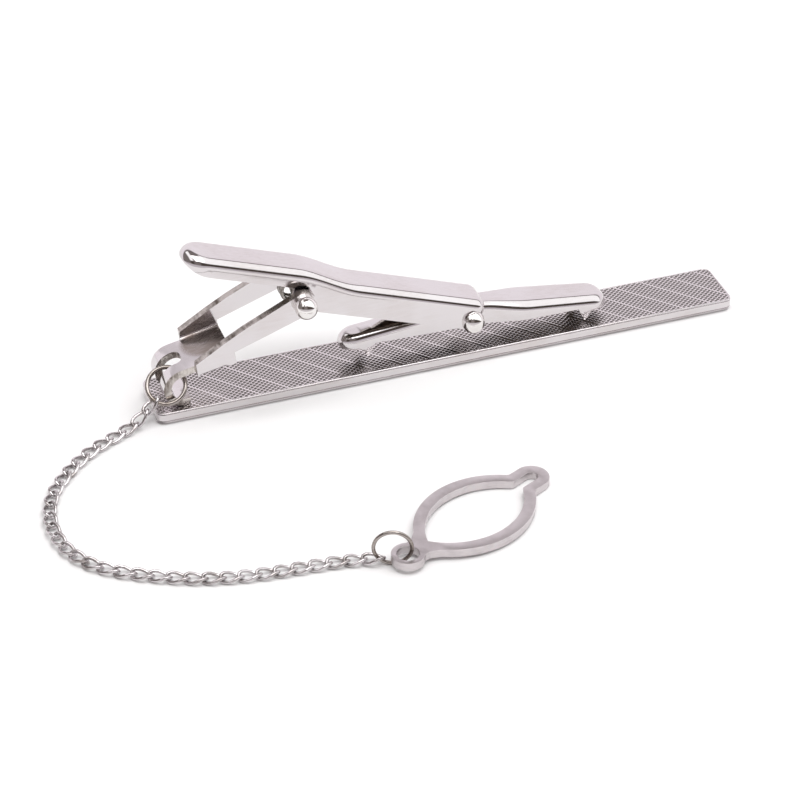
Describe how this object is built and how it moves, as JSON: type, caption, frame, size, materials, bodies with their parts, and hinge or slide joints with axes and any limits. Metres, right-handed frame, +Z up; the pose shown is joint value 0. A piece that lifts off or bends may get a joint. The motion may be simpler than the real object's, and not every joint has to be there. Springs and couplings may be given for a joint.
{
  "type": "tie clip",
  "caption": "Tie clip: flat hatched bar with a sprung lever that presses a rocking toothed jaw on it, and a fine chain that ends in a flat pointed-oval button loop.",
  "frame": {"origin": "middle of the bar's show face, which lies on the table", "axes": "+X along the bar towards its free end, +Y across the bar away from the chain, +Z up out of the bar's back through the clip"},
  "size_m": [0.074, 0.0369, 0.0173],
  "materials": {
    "hatched_nickel": "bright nickel plate with a fine crossed-line pattern on the back face and polished sides",
    "polished_nickel": "bright polished nickel plate on pressed steel sheet",
    "pin_nickel": "bright polished nickel plate",
    "spring_wire": "drawn spring wire, dull grey",
    "chain_nickel": "bright nickel plate with ground facets",
    "satin_nickel": "satin nickel plate on stamped sheet"
  },
  "bodies": {
    "frame": {"tie_bar": "hatched_nickel", "hinge_bracket": "polished_nickel", "lever_pin": "pin_nickel", "torsion_spring": "spring_wire"},
    "lever": {"lever": "polished_nickel", "jaw_pin": "pin_nickel"},
    "jaw": {"jaw": "polished_nickel"},
    "eye_ring": {"eye_ring": "chain_nickel"},
    "chain_run_1": {"chain_link_01": "chain_nickel", "chain_link_02": "chain_nickel", "chain_link_03": "chain_nickel", "chain_link_04": "chain_nickel", "chain_link_05": "chain_nickel"},
    "chain_run_2": {"chain_link_06": "chain_nickel", "chain_link_07": "chain_nickel", "chain_link_08": "chain_nickel", "chain_link_09": "chain_nickel", "chain_link_10": "chain_nickel"},
    "chain_run_3": {"chain_link_11": "chain_nickel", "chain_link_12": "chain_nickel", "chain_link_13": "chain_nickel", "chain_link_14": "chain_nickel", "chain_link_15": "chain_nickel"},
    "chain_run_4": {"chain_link_16": "chain_nickel", "chain_link_17": "chain_nickel", "chain_link_18": "chain_nickel", "chain_link_19": "chain_nickel", "chain_link_20": "chain_nickel"},
    "chain_run_5": {"chain_link_21": "chain_nickel", "chain_link_22": "chain_nickel", "chain_link_23": "chain_nickel", "chain_link_24": "chain_nickel", "chain_link_25": "chain_nickel"},
    "chain_run_6": {"chain_link_26": "chain_nickel", "chain_link_27": "chain_nickel", "chain_link_28": "chain_nickel", "chain_link_29": "chain_nickel", "chain_link_30": "chain_nickel"},
    "chain_run_7": {"chain_link_31": "chain_nickel", "chain_link_32": "chain_nickel", "chain_link_33": "chain_nickel", "chain_link_34": "chain_nickel"},
    "loop_ring": {"loop_ring": "chain_nickel"},
    "button_loop": {"button_loop": "satin_nickel"}
  },
  "joints": [
    {"name": "lever_hinge", "type": "hinge", "parent": "frame", "child": "lever", "pos_m": [-0.01525, 0, 0.01085], "axis": [0, -1, 0], "range_deg": [0, 25], "stiffness_Nm_per_rad": 0.05, "springref_deg": -45.84, "deforming": ["torsion_spring"]},
    {"name": "jaw_pivot", "type": "hinge", "parent": "lever", "child": "jaw", "pos_m": [0.0023, 0, 0.00425], "axis": [0, -1, 0], "range_deg": [-25, 0]},
    {"name": "eye_ring_swing", "type": "hinge", "parent": "frame", "child": "eye_ring", "pos_m": [-0.02869, -0.0016, 0.00335], "axis": [0, 0, 1], "range_deg": [-8, 8]},
    {"name": "chain_bend_1", "type": "hinge", "parent": "eye_ring", "child": "chain_run_1", "pos_m": [-0.02971, -0.00207, 0.00251], "axis": [0, 0, 1], "range_deg": [-15, 15]},
    {"name": "chain_bend_2", "type": "hinge", "parent": "chain_run_1", "child": "chain_run_2", "pos_m": [-0.03645, -0.00484, 0.00043], "axis": [0, 0, -1], "range_deg": [-15, 15]},
    {"name": "chain_bend_3", "type": "hinge", "parent": "chain_run_2", "child": "chain_run_3", "pos_m": [-0.04203, -0.01044, 0.00043], "axis": [0, 0, 1], "range_deg": [-15, 15]},
    {"name": "chain_bend_4", "type": "hinge", "parent": "chain_run_3", "child": "chain_run_4", "pos_m": [-0.04304, -0.01817, 0.00043], "axis": [0, 0, -1], "range_deg": [-15, 15]},
    {"name": "chain_bend_5", "type": "hinge", "parent": "chain_run_4", "child": "chain_run_5", "pos_m": [-0.03804, -0.02408, 0.00043], "axis": [0, 0, 1], "range_deg": [-15, 15]},
    {"name": "chain_bend_6", "type": "hinge", "parent": "chain_run_5", "child": "chain_run_6", "pos_m": [-0.03077, -0.02728, 0.00043], "axis": [0, 0, -1], "range_deg": [-15, 15]},
    {"name": "chain_bend_7", "type": "hinge", "parent": "chain_run_6", "child": "chain_run_7", "pos_m": [-0.02287, -0.02834, 0.00044], "axis": [0, 0, 1], "range_deg": [-15, 15]},
    {"name": "loop_ring_swivel", "type": "hinge", "parent": "chain_run_7", "child": "loop_ring", "pos_m": [-0.01672, -0.02968, 0.00075], "axis": [0, 0, 1], "range_deg": [-20, 20]},
    {"name": "button_loop_swivel", "type": "hinge", "parent": "loop_ring", "child": "button_loop", "pos_m": [-0.01453, -0.03046, 0.00085], "axis": [0, 0, -1], "range_deg": [-25, 25]}
  ],
  "couplings": [
    {"joint": "jaw_pivot", "follows": "lever_hinge", "ratio": -0.8}
  ]
}
